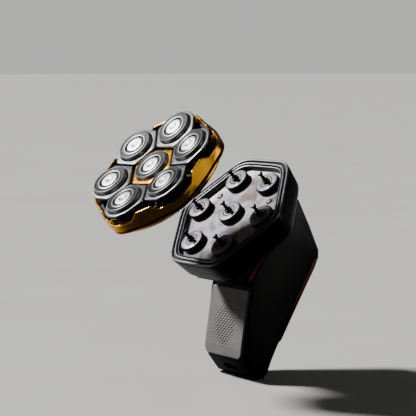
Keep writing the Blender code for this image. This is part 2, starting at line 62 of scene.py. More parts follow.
RIM_SIDES = [(30, 30.7), (90, 32.4), (150, 30.7), (210, 30.7), (270, 32.4), (330, 30.7)]
RIM_SHARPNESS = 14
POD_TAPER = 2.2
POD_TOP = -1.3
POD_BOTTOM = -15.0
DECK_FLOOR = -3.2
BUSH_R = 6.1
TIP_HEIGHT = 5.85
SCREW_RADIUS = 20.4
SCREW_ANGLES = [30, 150]

CAP_R = 8.5
CAP_TOP = 6.6
CENTRE_CAP_TOP = 4.9
CAP_DEPTH = 3.2
PLATE_APOTHEM = 10.2
PLATE_ROUND = 10.1
PLATE_STEP = 1.7
PLATE_DEPTH = 2.6

BAND_INNER_R = 29.8
BAND_R = 32.0
BAND_TOP = 6.6
PILLAR_TOP = 10.0
BAND_SIDE_R = 31.75             # outer face, before it swells or leans
LEAN_FROM = 5.2                 # height above which the face leans inwards
LEAN = 0.33
CUP_SWELL = 2.3                 # how far the band swells out under a head
CUP_SPREAD = 12.0               # degrees
CUP_UPRIGHT = 0.2               # how much less the face leans under a head
SCALLOP_RISE = 0.8              # edge of the band under a head, above BAND_TOP
SCALLOP_TO = 16.5               # degrees from a head to the end of its scallop
PILLAR_FROM = 22.5
BAND_STEP = 1.5                 # degrees between columns of the band
LIP_R = 0.5
LIP_GROWTH = 0.25               # extra thickness of the lip under a head
LIP_SIDES = 12

HANDLE_HALF = 13.6
PANEL_LOW = 13.9
PANEL_HIGH = 14.8
COVER_HALF = 10.4
COVER_THICK = 1.8
COVER_SEAT = 2.2                # depth of the recess that takes the back cover
COVER_TAIL = (0.86, 0.45)       # how far down the last edge it ends, outside and inside
PAD_THICK = 1.3
PAD_HALF = 13.5
PAD_SPAN = (0.12, 0.87)         # where the pad starts and ends on its first and last edge
PAD_CORNERS = (3.6, 1.2)        # low and high corner radius
PAD_EDGE = 0.9
FOOT_THICK = 1.1
FOOT_HALF = 11.8
FLOOR = -DECK_CENTRE[2]
SHELL_BOTTOM = FLOOR + FOOT_THICK + GAP
NECK_FRONT = (-9.8, -31.9)
NECK_BACK = (28.4, 6.3)
BACK_LINE = [(32.2, 4.4), (39.2, -8.2), (45.4, -20.6), (45.3, -24.8), (33.0, -43.3),
             (25.2, -55.3), (19.0, -64.6), (15.4, -71.0)]
HEEL = (12.4, SHELL_BOTTOM)
TOE = (4.4, SHELL_BOTTOM)
CHIN = (-2.3, -69.0)
FRONT_LINE = [(-2.1, -63.5), (-1.7, -60.5), (0.6, -47.0), (3.3, -34.6)]
PORT_CENTRE = (1.0, -73.6)
PORT_SIZE = (9.0, 3.4)
BUTTON_R = 4.2
BUTTON_PLACE = 0.42
DISPLAY_SIZE = (10.0, 8.0)

# ---- detail of the visible surfaces -----------------------------------------------------------
ROUND = 96                      # segments of small round pieces
FINE_ROUND = ROUND * 2
SMALL_ROUND = 48
RIM_POINTS = 180
PLATE_SHARPNESS = 44
SLOTS = 60                      # radial slots in a cutter cap
SLOT_PARTS = (0.0, 0.5, 0.56, 0.94)     # columns in one slot's share, the last two cut down
SLOT_DEPTH = 0.5
ARC_DEPTH = 0.3
CAP_GROOVE = (4.0, 4.8)         # radii of the dark groove
CAP_RIDGE = (4.9, 5.9)
# Beyond this radius the cap's rounded outer edge takes the lighter steel, as a painted edge
# highlight.
CAP_RIM_HIGHLIGHT = 7.9
DIMPLE_PITCH = 2.0              # across the pad
DIMPLE_ROW = 1.15               # up the pad, every other row half a pitch over
DIMPLE_DEPTH = 0.42
DIMPLE_R = 0.58
DIMPLE_FIELD = (8.6, 12.8)      # half width and half height
DIMPLE_FADE = 0.35
DIMPLE_MIDDLE = 0.46            # share of the way up the pad
PAD_ROWS = 190
PAD_COLUMNS = 140
NORMAL_SPAN = 12                # rows over which the pad's direction is averaged


# ---- frames -----------------------------------------------------------------------------------
def placed(x=0.0, y=0.0, z=0.0):
    return Matrix.Translation(Vector((x, y, z)) * MM)


def turned(degrees, axis):
    return Matrix.Rotation(math.radians(degrees), 4, axis)


BODY = placed(*DECK_CENTRE)
DECK = BODY @ turned(DECK_TILT, "X")
CART = DECK @ placed(0, -LIFT_SHIFT, LIFT) @ turned(TWIST, "Z")


def head_frame(number):
    if number == 0:
        return CART @ placed(0, 0, HEAD_BASE)
    return (CART @ turned(HEAD_ANGLES[number - 1], "Z") @ placed(HEAD_PITCH, 0, HEAD_BASE)
            @ turned(-HEAD_TILT, "Y"))


def spindle_frame(number):
    if number == 0:
        return DECK
    return DECK @ turned(HEAD_ANGLES[number - 1], "Z") @ placed(HEAD_PITCH, 0, 0) @ turned(
        -HEAD_ANGLES[number - 1], "Z")


def edge_frame(start, end, share):
    """Frame on a back edge: +Z out of the handle, +X across it, +Y down the edge."""
    low, high = Vector(start), Vector(end)
    point = low.lerp(high, share)
    along = (high - low).normalized()
    z_axis = Vector((0, -along.y, along.x))
    y_axis = Vector((0, along.x, along.y))
    made = Matrix((y_axis.cross(z_axis), y_axis, z_axis)).transposed().to_4x4()
    made.translation = Vector((0, *point)) * MM
    return BODY @ made


def chin_frame():
    along = (Vector(TOE) - Vector(CHIN)).normalized()
    z_axis = Vector((0, along.y, -along.x))
    x_axis = Vector((1, 0, 0))
    made = Matrix((x_axis, z_axis.cross(x_axis), z_axis)).transposed().to_4x4()
    made.translation = Vector((0, *PORT_CENTRE)) * MM
    return BODY @ made


# ---- materials --------------------------------------------------------------------------------
class Look:
    """A Principled material whose colour, roughness and bump come from noise in object space."""

    def __init__(self, name, colour, roughness, metallic=0.0, **sockets):
        self.material = bpy.data.materials.new(name)
        self.material.use_nodes = True
        self.tree = self.material.node_tree
        self.shader = self.tree.nodes["Principled BSDF"]
        self.shader.inputs["Base Color"].default_value = (*colour, 1.0)
        self.shader.inputs["Roughness"].default_value = roughness
        self.shader.inputs["Metallic"].default_value = metallic
        for socket, value in sockets.items():
            self.shader.inputs[socket.replace("_", " ")].default_value = value
        self.colour = colour
        self.roughness = roughness
        self.place = self.node("ShaderNodeTexCoord").outputs["Object"]

    def node(self, kind, **settings):
        made = self.tree.nodes.new(kind)
        for key, value in settings.items():
            setattr(made, key, value)
        return made

    def link(self, source, target):
        self.tree.links.new(source, target)

    def noise(self, cells_per_mm, detail=4.0, vector=None):
        scale = self.node("ShaderNodeMapping")
        scale.inputs["Scale"].default_value = [cells_per_mm / MM] * 3
        self.link(vector or self.place, scale.inputs["Vector"])
        made = self.node("ShaderNodeTexNoise")
        made.inputs["Scale"].default_value = 1.0
        made.inputs["Detail"].default_value = detail
        self.link(scale.outputs["Vector"], made.inputs["Vector"])
        return made.outputs["Fac"]

    def rings(self, cells_per_mm, detail=3.0):
        """Noise that changes only with the distance from the object's own Z axis."""
        split = self.node("ShaderNodeSeparateXYZ")
        self.link(self.place, split.inputs[0])
        flat = self.node("ShaderNodeCombineXYZ")
        self.link(split.outputs["X"], flat.inputs["X"])
        self.link(split.outputs["Y"], flat.inputs["Y"])
        length = self.node("ShaderNodeVectorMath", operation="LENGTH")
        self.link(flat.outputs[0], length.inputs[0])
        line = self.node("ShaderNodeCombineXYZ")
        self.link(length.outputs["Value"], line.inputs["X"])
        return self.noise(cells_per_mm, detail, line.outputs[0])

    def ramp(self, factor, low, high, from_low=0.3, from_high=0.7):
        made = self.node("ShaderNodeMapRange")
        for socket, value in (("From Min", from_low), ("From Max", from_high),
                              ("To Min", low), ("To Max", high)):
            made.inputs[socket].default_value = value
        self.link(factor, made.inputs["Value"])
        return made.outputs["Result"]

    def tint(self, factor, other, low=0.3, high=0.7, strength=1.0):
        """Mix the colour towards another one where the factor is high."""
        mix = self.node("ShaderNodeMix", data_type="RGBA")
        self.link(self.ramp(factor, 0.0, strength, low, high), mix.inputs["Factor"])
        current = self.shader.inputs["Base Color"]
        if current.is_linked:
            self.link(current.links[0].from_socket, mix.inputs["A"])
        else:
            mix.inputs["A"].default_value = (*self.colour, 1.0)
        mix.inputs["B"].default_value = (*other, 1.0)
        self.link(mix.outputs["Result"], current)
        return self

    def rough(self, factor, spread):
        low_value = max(self.roughness - spread, 0.02)
        self.link(self.ramp(factor, low_value, self.roughness + spread),
                  self.shader.inputs["Roughness"])
        return self

    def bump(self, factor, height_mm):
        made = self.node("ShaderNodeBump")
        made.inputs["Strength"].default_value = 1.0
        made.inputs["Distance"].default_value = height_mm * MM
        self.link(factor, made.inputs["Height"])
        normal = self.shader.inputs["Normal"]
        if normal.is_linked:
            self.link(normal.links[0].from_socket, made.inputs["Normal"])
        self.link(made.outputs["Normal"], normal)
        return self


def moulded(name, colour, roughness, specular=0.22):
    """Moulded plastic: fine grain, patchy gloss and a few rubbed places."""
    look = Look(name, colour, roughness, Specular_IOR_Level=specular)
    look.tint(look.noise(0.12), [c * 1.4 for c in colour], 0.45, 0.8, 0.6)
    look.rough(look.noise(0.35), 0.05)
    look.bump(look.noise(5.0, 3.0), 0.003)
    return look.material


def turned_steel(name, colour, roughness):
    """Steel with fine turned lines round the object's own Z axis."""
    look = Look(name, colour, roughness, 1.0)
    look.tint(look.rings(3.0), [c * 0.72 for c in colour], 0.35, 0.65, 0.8)
    look.tint(look.noise(0.25), [c * 0.85 for c in colour], 0.5, 0.8, 0.6)
    look.rough(look.rings(5.0), 0.07)
    look.bump(look.rings(4.0), 0.002)
    return look.material


def dim_in_mirrors(look):
    """Pale to the eye, but as a light source bright only on the left and dark on the right."""
    split = look.node("ShaderNodeSeparateXYZ")
    look.link(look.place, split.inputs[0])
    shade = look.ramp(split.outputs["X"], *FLOOR_SHADES, *FLOOR_TURN)
    bounce = look.node("ShaderNodeBsdfDiffuse")
    look.link(shade, bounce.inputs["Color"])
    path = look.node("ShaderNodeLightPath")
    mix = look.node("ShaderNodeMixShader")
    look.link(path.outputs["Is Camera Ray"], mix.inputs[0])
    look.link(bounce.outputs[0], mix.inputs[1])
    look.link(look.shader.outputs[0], mix.inputs[2])
    look.link(mix.outputs[0], look.tree.nodes["Material Output"].inputs["Surface"])


def make_materials():
    made = {}
    made["shell"] = moulded("shell_black", (0.008, 0.008, 0.008), 0.36)
    made["pod"] = moulded("pod_black", (0.004, 0.004, 0.004), 0.34, 0.16)
    made["panel"] = moulded("panel_grey", (0.016, 0.014, 0.012), 0.4)
    made["inner"] = moulded("inner_black", (0.008, 0.008, 0.008), 0.5)
    # Black for the real gasket, and painted shade in the deck's inner groove and round the deck
    # screws.
    made["gasket"] = moulded("gasket_black", (0.004, 0.004, 0.004), 0.55)
    made["spindle"] = moulded("spindle_black", (0.007, 0.007, 0.008), 0.36)
    # Near-black sides for the spindle bosses: painted shade below their light tops.
    made["boss_side"] = moulded("boss_shade_black", (0.005, 0.005, 0.005), 0.5)

    look = Look("foot_rubber", (0.012, 0.012, 0.012), 0.8)
    look.tint(look.noise(0.4), (0.03, 0.03, 0.029), 0.4, 0.8).bump(look.noise(3.0), 0.03)
    made["rubber"] = look.material

    look = Look("grip_grey", (0.25, 0.232, 0.228), 0.6)
    look.tint(look.noise(0.09), (0.19, 0.172, 0.168), 0.35, 0.75)
    look.tint(look.noise(2.2, 2.0), (0.20, 0.19, 0.19), 0.55, 0.85, 0.5)
    look.rough(look.noise(0.5), 0.08).bump(look.noise(4.0, 3.0), 0.02)
    made["grip"] = look.material

    look = Look("copper_red", (0.11, 0.017, 0.006), 0.36, 0.7)
    look.tint(look.noise(0.15), (0.055, 0.007, 0.003), 0.35, 0.75)
    look.rough(look.noise(0.6), 0.07).bump(look.noise(6.0, 3.0), 0.004)
    made["accent"] = look.material

    look = Look("deck_satin", (0.27, 0.255, 0.27), 0.40, 0.45)
    look.tint(look.noise(0.10, 5.0), (0.10, 0.058, 0.032), 0.5, 0.64, 0.9)
    look.tint(look.noise(0.14, 5.0), (0.07, 0.072, 0.12), 0.52, 0.66, 0.85)
    look.tint(look.noise(1.2, 3.0), (0.20, 0.19, 0.20), 0.58, 0.8, 0.7)
    look.rough(look.noise(0.3), 0.09).bump(look.noise(3.5, 3.0), 0.012)
    made["deck"] = look.material

    look = Look("rim_satin", (0.24, 0.24, 0.25), 0.34, 0.8)
    look.tint(look.noise(0.1, 4.0), (0.17, 0.17, 0.18), 0.45, 0.75, 0.8)
    look.rough(look.noise(0.4), 0.07).bump(look.noise(2.0, 2.0), 0.001)
    made["rim"] = look.material

    made["cap"] = turned_steel("cap_steel", (0.085, 0.083, 0.086), 0.38)
    made["cap_face"] = turned_steel("cap_face", (0.80, 0.79, 0.80), 0.42)
    # Lighter steel for the ridge ring round the face, and on the cap's rounded outer edge a painted
    # highlight.
    made["cap_ridge_and_rim_highlight"] = turned_steel("cap_ridge_and_rim_highlight", (0.36, 0.35, 0.36), 0.34)
    made["cap_slot"] = moulded("cap_slot", (0.012, 0.012, 0.012), 0.5)
    made["steel"] = turned_steel("plain_steel", (0.45, 0.45, 0.45), 0.34)

    look = Look("plate_silver", (0.13, 0.13, 0.14), 0.40, 0.85)
    look.tint(look.noise(0.18), (0.08, 0.08, 0.09), 0.4, 0.75, 0.8)
    look.rough(look.noise(0.5), 0.08).bump(look.noise(5.0, 3.0), 0.006)
    made["plate"] = look.material

    # Lighter silver for the chamfered edges of the head plates: a painted edge highlight.
    look = Look("plate_edge_highlight", (0.55, 0.55, 0.56), 0.34, 0.9)
    look.tint(look.noise(0.4), (0.35, 0.35, 0.36), 0.4, 0.75).rough(look.noise(0.5), 0.06)
    made["plate_edge_highlight"] = look.material

    look = Look("gold_chrome", (0.92, 0.43, 0.018), 0.17, 1.0)
    look.tint(look.noise(0.10), (0.62, 0.22, 0.012), 0.4, 0.75, 0.8)
    look.rough(look.noise(0.3), 0.05).bump(look.noise(2.5, 2.0), 0.004)
    made["gold"] = look.material

    look = Look("gold_satin", (1.0, 0.52, 0.04), 0.24, 1.0)
    look.tint(look.noise(0.2), (0.80, 0.34, 0.025), 0.4, 0.75, 0.8)
    look.rough(look.noise(0.4), 0.05).bump(look.noise(2.5, 2.0), 0.002)
    made["gold_lip"] = look.material

    look = Look("display_glass", (0.004, 0.004, 0.005), 0.06, Coat_Weight=0.6)
    look.rough(look.noise(0.4), 0.03)
    made["window"] = look.material
    look = Look("display_bars", (0.10, 0.35, 0.42), 0.35)
    look.tint(look.noise(0.8), (0.06, 0.25, 0.30))
    made["lamp"] = look.material

    look = Look("cell_wrap", (0.03, 0.12, 0.30), 0.4)
    look.tint(look.noise(0.3), (0.02, 0.08, 0.2)).bump(look.noise(1.0), 0.02)
    made["cell"] = look.material
    look = Look("board_green", (0.02, 0.16, 0.06), 0.45)
    look.tint(look.noise(1.2), (0.35, 0.25, 0.08), 0.6, 0.65)
    made["board"] = look.material

    look = Look("studio_floor", (0.80, 0.79, 0.77), 0.5)
    look.tint(look.noise(0.01), (0.76, 0.75, 0.73)).bump(look.noise(0.8), 0.02)
    dim_in_mirrors(look)
    made["floor"] = look.material
    return made


# ---- mesh helpers -----------------------------------------------------------------------------
def skin(rows, wrap=False, bands=None, darker=None):
    """Faces between equal rows of points; the ends are closed unless the rows wrap round.

    bands gives a material number for each gap between rows, and darker(row, column) may
    give a number that overrides it.
    """
    bm = bmesh.new()
    made = [[bm.verts.new(Vector(p) * MM) for p in row] for row in rows]
    pairs = list(zip(made, made[1:]))
    if wrap:
        pairs.append((made[-1], made[0]))
    count = len(rows[0])
    for index, (low, high) in enumerate(pairs):
        for i in range(count):
            j = (i + 1) % count
            face = bm.faces.new((low[i], low[j], high[j], high[i]))
            number = bands[index] if bands else 0
            if darker:
                override = darker(index, i)
                number = number if override is None else override
            face.material_index = number
    if not wrap:
        for end in (0, -1):
            face = bm.faces.new(made[end])
            face.material_index = bands[end] if bands else 0
    return bm


def circle(radius, height, count=ROUND):
    steps = [2 * math.pi * i / count for i in range(count)]
    return [(radius * math.cos(a), radius * math.sin(a), height) for a in steps]


def lathe(profile, count=ROUND, bands=None):
    return skin([circle(r, z, count) for r, z in profile], bands=bands)


def prism(outline, low, high):
    """Extrude a (y, z) outline across the handle."""
    return skin([[(x, y, z) for y, z in outline] for x in (low, high)])


def piece(name, bm, looks, matrix, body, replaces=(), sharp=35, spun=False):
    """Make a mesh ride a body.  Only a spun piece keeps its own axes, for its ring pattern."""
    bmesh.ops.recalc_face_normals(bm, faces=bm.faces)
    if not spun:
        bm.transform(matrix)
    mesh = bpy.data.meshes.new(name)
    bm.to_mesh(mesh)
    bm.free()
    for look in looks if isinstance(looks, (list, tuple)) else [looks]:
        mesh.materials.append(look)
    mesh.shade_smooth()
    mesh.set_sharp_from_angle(angle=math.radians(sharp))
    made = bpy.data.objects.new(name, mesh)
    bpy.context.scene.collection.objects.link(made)
    if spun:
        made.matrix_world = matrix
    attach(made, body)
    if replaces:
        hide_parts(*replaces)
    return made


def rounded(target, width, segments=3, angle=30):
    modifier = target.modifiers.new("round", "BEVEL")
    modifier.width = width * MM
    modifier.segments = segments
    modifier.limit_method = "ANGLE"
    modifier.angle_limit = math.radians(angle)
    return target


def cut(target, bm, matrix):
    """Subtract a helper solid, then apply every modifier and drop the helper."""
    mesh = bpy.data.meshes.new("helper")
    bmesh.ops.recalc_face_normals(bm, faces=bm.faces)
    bm.to_mesh(mesh)
    bm.free()
    helper = bpy.data.objects.new("helper", mesh)
    bpy.context.scene.collection.objects.link(helper)
    helper.matrix_world = matrix
    modifier = target.modifiers.new("cut", "BOOLEAN")
    modifier.operation = "DIFFERENCE"
    modifier.object = helper
    modifier.solver = "EXACT"
    settle(target)
    bpy.data.objects.remove(helper, do_unlink=True)
    bpy.data.meshes.remove(mesh)


def settle(target, sharp=32):
    """Apply the modifiers and mark the sharp edges again."""
    bpy.context.view_layer.update()
    graph = bpy.context.evaluated_depsgraph_get()
    old = target.data
    target.data = bpy.data.meshes.new_from_object(target.evaluated_get(graph))
    target.modifiers.clear()
    bpy.data.meshes.remove(old)
    target.data.shade_smooth()
    target.data.set_sharp_from_angle(angle=math.radians(sharp))


# ---- outlines ---------------------------------------------------------------------------------
def soft_polygon_radius(angle, sides, sharpness):
    """Distance to a polygon given by the angle and distance of its sides, corners rounded."""
    total = 0.0
    for normal, apothem in sides:
        reach = math.cos(angle - math.radians(normal)) / apothem
        if reach > 0:
            total += reach ** sharpness
    return total ** (-1 / sharpness)


def rim_ring(inset, height):
    """Outline of the hexagonal pod and deck with soft corners."""
    sides = [(normal, apothem - inset) for normal, apothem in RIM_SIDES]
    ring = []
    for i in range(RIM_POINTS):
        angle = 2 * math.pi * i / RIM_POINTS
        radius = soft_polygon_radius(angle, sides, RIM_SHARPNESS)
        ring.append((radius * math.cos(angle), radius * math.sin(angle), height))
    return ring


def plate_ring(outer, swell, height):
    """Hexagonal plate outline; an outer head is round on the side away from the middle."""
    if outer:
        sides = [(a, PLATE_APOTHEM) for a in (120, 180, 240)]
        sides += [(a, PLATE_ROUND) for a in (60, 30, 0, 330, 300)]
    else:
        sides = [(a, PLATE_APOTHEM) for a in HEAD_ANGLES]
    ring = []
    for i in range(FINE_ROUND):
        angle = 2 * math.pi * i / FINE_ROUND
        radius = soft_polygon_radius(angle, sides, PLATE_SHARPNESS) + swell
        ring.append((radius * math.cos(angle), radius * math.sin(angle), height))
    return ring


def offset_outline(points, distance):
    """Move each edge of an outline inwards."""
    lines = []
    for i, point in enumerate(points):
        start = Vector(point)
        along = (Vector(points[(i + 1) % len(points)]) - start).normalized()
        lines.append((start + Vector((along.y, -along.x)) * distance, along))
    moved = []
    for i in range(len(points)):
        (a, da), (b, db) = lines[i - 1], lines[i]
        step = ((b.x - a.x) * db.y - (b.y - a.y) * db.x) / (da.x * db.y - da.y * db.x)
        moved.append(tuple(a + da * step))
    return moved


def softened(points, rounds, share=0.2):
    """Cut the corners of a closed outline, a few times over."""
    for _ in range(rounds):
        shorter = []
        for i, point in enumerate(points):
            a, b = Vector(point), Vector(points[(i + 1) % len(points)])
            shorter += [tuple(a.lerp(b, share)), tuple(a.lerp(b, 1 - share))]
        points = shorter
    return points


def stadium(width, height, low, high, count=12):
    """Rounded slot, as two rows of points."""
    radius = height / 2
    outline = []
    for side in (1, -1):
        for i in range(count + 1):
            angle = -math.pi / 2 + math.pi * i / count + (0 if side == 1 else math.pi)
            outline.append((side * (width / 2 - radius) + radius * math.cos(angle),
                            radius * math.sin(angle)))
    return [[(x, y, z) for x, y in outline] for z in (low, high)]


def handle_outline():
    """Side view of the handle, (y, z) from the middle of the deck."""
    return [NECK_FRONT, NECK_BACK, *BACK_LINE, HEEL, TOE, CHIN, *FRONT_LINE]


# ---- handle -----------------------------------------------------------------------------------
def build_handle(mats):
    shell = piece("handle_shell_round", prism(handle_outline(), -HANDLE_HALF, HANDLE_HALF),
                  mats["shell"], BODY, "handle_body", ["handle_shell"])
    rounded(shell, 1.5, 4)
    back = [(BACK_LINE[0][0], BACK_LINE[0][1] + 8.0), *BACK_LINE]
    outside = [(y + 3.0, z) for y, z in back]
    inside = [(y - COVER_SEAT, z) for y, z in back]
    half = COVER_HALF + GAP
    cut(shell, prism(outside + inside[::-1], -half, half), BODY)
    cut(shell, skin(stadium(*PORT_SIZE, -3.4, 4.0)), chin_frame())

    socket = skin(stadium(PORT_SIZE[0] - 0.6, PORT_SIZE[1] - 0.6, -3.2, -0.6))
    made = piece("socket_shell", socket, mats["inner"], chin_frame(), "handle_body",
                 ["charging_socket"])
    cut(made, skin(stadium(PORT_SIZE[0] - 1.3, PORT_SIZE[1] - 1.3, -2.9, 1.0)), chin_frame())
    piece("socket_tongue", skin(stadium(PORT_SIZE[0] - 2.8, 0.7, -2.9, -1.1)), mats["inner"],
          chin_frame(), "handle_body")


def build_back_cover(mats):
    outline = handle_outline()
    last = len(BACK_LINE)
    inside = offset_outline(outline, COVER_THICK)
    tail_out = tuple(Vector(BACK_LINE[-2]).lerp(Vector(BACK_LINE[-1]), COVER_TAIL[0]))
    tail_in = tuple(Vector(inside[last]).lerp(Vector(inside[last + 1]), COVER_TAIL[1]))
    rim = [(30.6, 5.6), *BACK_LINE[:-1], tail_out, tail_in, *inside[last:1:-1], (29.6, 3.9)]
    cover = piece("back_cover_round", prism(rim, -COVER_HALF, COVER_HALF), mats["shell"], BODY,
                  "handle_body", ["back_cover"])
    rounded(cover, 0.5, 3, 25)
    button_frame = edge_frame(BACK_LINE[3], BACK_LINE[4], BUTTON_PLACE)
    display_frame = edge_frame(BACK_LINE[1], BACK_LINE[2], 0.5)
    cut(cover, lathe([(BUTTON_R + GAP, -4), (BUTTON_R + GAP, 4)]), button_frame)
    cut(cover, box_rows(DISPLAY_SIZE[0] + 2 * GAP, DISPLAY_SIZE[1] + 2 * GAP, -1.0, 2.0, 1.0),
        display_frame)

    window = box_rows(*DISPLAY_SIZE, -0.7, -0.05, 0.8)
    piece("display_glass", window, mats["window"], display_frame, "handle_body",
          ["display_window"])
    for number, offset in enumerate((-2.2, 0.0, 2.2)):
        piece(f"charge_bar_{number}", box_rows(1.4, 3.6, -0.06, 0.0, 0.4), mats["lamp"],
              display_frame @ placed(offset, 0, 0), "handle_body")

    glyph_height = 0.46
    button = [(BUTTON_R - 1.4, -2.6), (BUTTON_R, -1.6), (BUTTON_R, 0.25), (BUTTON_R - 0.15, 0.5),
              (BUTTON_R - 0.5, 0.68), (BUTTON_R - 1.1, 0.72), (2.4, 0.45), (0.6, 0.38)]
    piece("power_button_round", lathe(button), mats["accent"], button_frame, "button_body",
          ["power_button"])
    glyph = bmesh.new()
    rows = []
    for radius in (1.25, 1.6):
        angles = [math.radians(a) for a in range(-240, 61, 10)]
        rows.append([glyph.verts.new(Vector((radius * math.cos(a), radius * math.sin(a),
                                             glyph_height)) * MM) for a in angles])
    for i in range(len(rows[0]) - 1):
        glyph.faces.new((rows[0][i], rows[0][i + 1], rows[1][i + 1], rows[1][i]))
    glyph.faces.new([glyph.verts.new(Vector((x, y, glyph_height)) * MM)
                     for x, y in ((-0.18, 0.5), (0.18, 0.5), (0.18, 1.9), (-0.18, 1.9))])
    bmesh.ops.solidify(glyph, geom=glyph.faces, thickness=0.03 * MM)
    piece("button_glyph", glyph, mats["deck"], button_frame, "button_body")


def box_rows(width, height, low, high, radius, count=4):
    """A block with rounded upright corners."""
    outline = []
    for quarter, (sx, sy) in enumerate(((1, 1), (-1, 1), (-1, -1), (1, -1))):
        for i in range(count + 1):
            angle = math.pi / 2 * (quarter + i / count)
            outline.append((sx * (width / 2 - radius) + radius * math.cos(angle),
                            sy * (height / 2 - radius) + radius * math.sin(angle)))
    return skin([[(x, y, z) for x, y in outline] for z in (low, high)])


PANEL = [(26.2, -2.2), (35.0, -8.6), (40.6, -21.0), (40.4, -24.2), (28.9, -42.0),
         (21.1, -54.4), (15.0, -64.8), (11.5, -71.8), (7.6, -74.2), (2.6, -72.0),
         (-1.0, -67.0), (-1.8, -61.6), (-0.8, -53.3), (0.8, -44.2), (1.7, -37.4),
         (3.1, -31.1), (6.7, -25.4), (12.7, -18.5), (19.0, -12.2)]
NECK_TRIM = [(17.4, -13.6), (11.6, -19.2), (5.7, -25.9), (2.4, -31.2), (1.9, -33.2),
             (-0.9, -32.4), (-1.6, -30.8), (4.8, -24.4), (11.0, -18.6), (16.4, -13.3)]
BACK_TRIM = [(41.2, -23.6), (43.6, -25.0), (31.9, -42.8), (24.1, -54.9), (19.3, -62.4),
             (17.7, -60.8), (21.9, -54.0), (29.6, -41.8)]


def build_sides(mats):
    for side, name in ((-1, "left"), (1, "right")):
        low, high = sorted((side * PANEL_LOW, side * PANEL_HIGH))
        for title, outline, look, width, slot, rounds in (
                ("side_panel", PANEL, "panel", 0.6, "panel", 2),
                ("neck_trim", NECK_TRIM, "accent", 0.25, "accent", 1),
                ("back_trim", BACK_TRIM, "accent", 0.25, "accent", 1)):
            made = piece(f"{title}_{name}_round", prism(softened(outline, rounds), low, high),
                         mats[look], BODY, "handle_body", [f"{title}_{name}"])
            rounded(made, width, 3, 50)
            settle(made)


def pad_line(steps):
    """Points and outward normals up the front of the handle, with the distance travelled."""
    track = [tuple(Vector(CHIN).lerp(Vector(FRONT_LINE[0]), PAD_SPAN[0])), *FRONT_LINE]
    track[-1] = tuple(Vector(FRONT_LINE[-2]).lerp(Vector(FRONT_LINE[-1]), PAD_SPAN[1]))
    lengths = [0.0]
    for a, b in zip(track, track[1:]):
        lengths.append(lengths[-1] + (Vector(b) - Vector(a)).length)
    total = lengths[-1]
    line = []
    for step in range(steps + 1):
        distance = total * step / steps
        spot = max(i for i in range(len(track) - 1) if lengths[i] <= distance + 1e-9)
        a, b = Vector(track[spot]), Vector(track[spot + 1])
        point = a.lerp(b, (distance - lengths[spot]) / (b - a).length)
        line.append((point, distance))
    normals = []
    for i in range(len(line)):
        a = line[max(i - NORMAL_SPAN, 0)][0]
        b = line[min(i + NORMAL_SPAN, len(line) - 1)][0]
        along = (b - a).normalized()
        normals.append(Vector((-along.y, along.x)))
    return [(p, n, d) for (p, d), n in zip(line, normals)], total


def corner_drop(distance, radius):
    """How far a rounded edge falls below the flat at this distance from the side."""
    if distance >= radius:
        return 0.0
    return radius - math.sqrt(max(radius ** 2 - (radius - distance) ** 2, 0.0))


def dimple(x, s, middle):
    """Depth of the staggered grid of dimples, fading towards the edges of an oval field."""
    spread = math.hypot(x / DIMPLE_FIELD[0], (s - middle) / DIMPLE_FIELD[1])
    fade = min(max((1.0 - spread) / DIMPLE_FADE, 0.0), 1.0)
    if fade <= 0.0:
        return 0.0
    deepest = 0.0
    row = round((s - middle) / DIMPLE_ROW)
    for r in (row - 1, row, row + 1):
        shift = DIMPLE_PITCH / 2 if r % 2 else 0.0
        column = round((x - shift) / DIMPLE_PITCH)
        away = math.hypot(x - shift - column * DIMPLE_PITCH, s - middle - r * DIMPLE_ROW)
        if away < DIMPLE_R:
            deepest = max(deepest, math.cos(away / DIMPLE_R * math.pi / 2) ** 0.6)
    return deepest * fade * DIMPLE_DEPTH


def build_grip(mats):
    line, total = pad_line(PAD_ROWS)
    low_corner, high_corner = PAD_CORNERS
    rows = []
    for point, normal, distance in line:
        from_end = min(distance, total - distance)
        corner = low_corner if distance < total / 2 else high_corner
        half = PAD_HALF - corner_drop(from_end, corner)
        row = []
        for i in range(PAD_COLUMNS + 1):
            x = -half + 2 * half * i / PAD_COLUMNS
            drop = corner_drop(half - abs(x), PAD_EDGE) + corner_drop(from_end, PAD_EDGE)
            height = GAP + PAD_THICK - min(drop, PAD_THICK)
            height -= dimple(x, distance, total * DIMPLE_MIDDLE)
            row.append((x, *(point + normal * height)))
        back = point + normal * GAP
        row += [(half, *back), (-half, *back)]
        rows.append(row)
    piece("grip_pad_dimpled", skin(rows), mats["grip"], BODY, "handle_body", ["grip_pad"],
          sharp=60)

    sole = [(TOE[0] + 0.2, FLOOR), (HEEL[0] - 0.2, FLOOR), (HEEL[0], FLOOR + FOOT_THICK),
            (TOE[0], FLOOR + FOOT_THICK)]
    foot = piece("foot_pad_round", prism(sole, -FOOT_HALF, FOOT_HALF), mats["rubber"], BODY,
                 "handle_body", ["foot_pad"])
    rounded(foot, 0.3)
    settle(foot)


# ---- drive head -------------------------------------------------------------------------------
def build_pod(mats):
    def wall(height, extra=0.0):
        taper = POD_TAPER * (POD_TOP - height) / (POD_TOP - POD_BOTTOM + 2.5)
        return rim_ring(taper + extra, height)
    rings = [rim_ring(18, DECK_FLOOR - 0.9), rim_ring(2.7, DECK_FLOOR - 0.9),
             rim_ring(2.7, POD_TOP), rim_ring(0.5, POD_TOP), wall(POD_TOP - 0.25, 0.1),
             wall(POD_TOP - 0.7), wall(-4.0), wall(-8.0), wall(POD_BOTTOM + 3.2),
             wall(POD_BOTTOM + 2.3, 0.25), wall(POD_BOTTOM + 1.5, 0.9),
             rim_ring(POD_TAPER + 1.7, POD_BOTTOM + 0.7),
             rim_ring(POD_TAPER + 2.6, POD_BOTTOM + 0.1), rim_ring(POD_TAPER + 4.0, POD_BOTTOM),
             rim_ring(18, POD_BOTTOM)]
    piece("pod_round", skin(rings), mats["pod"], DECK, "handle_body", ["pod_housing"],
          sharp=50)


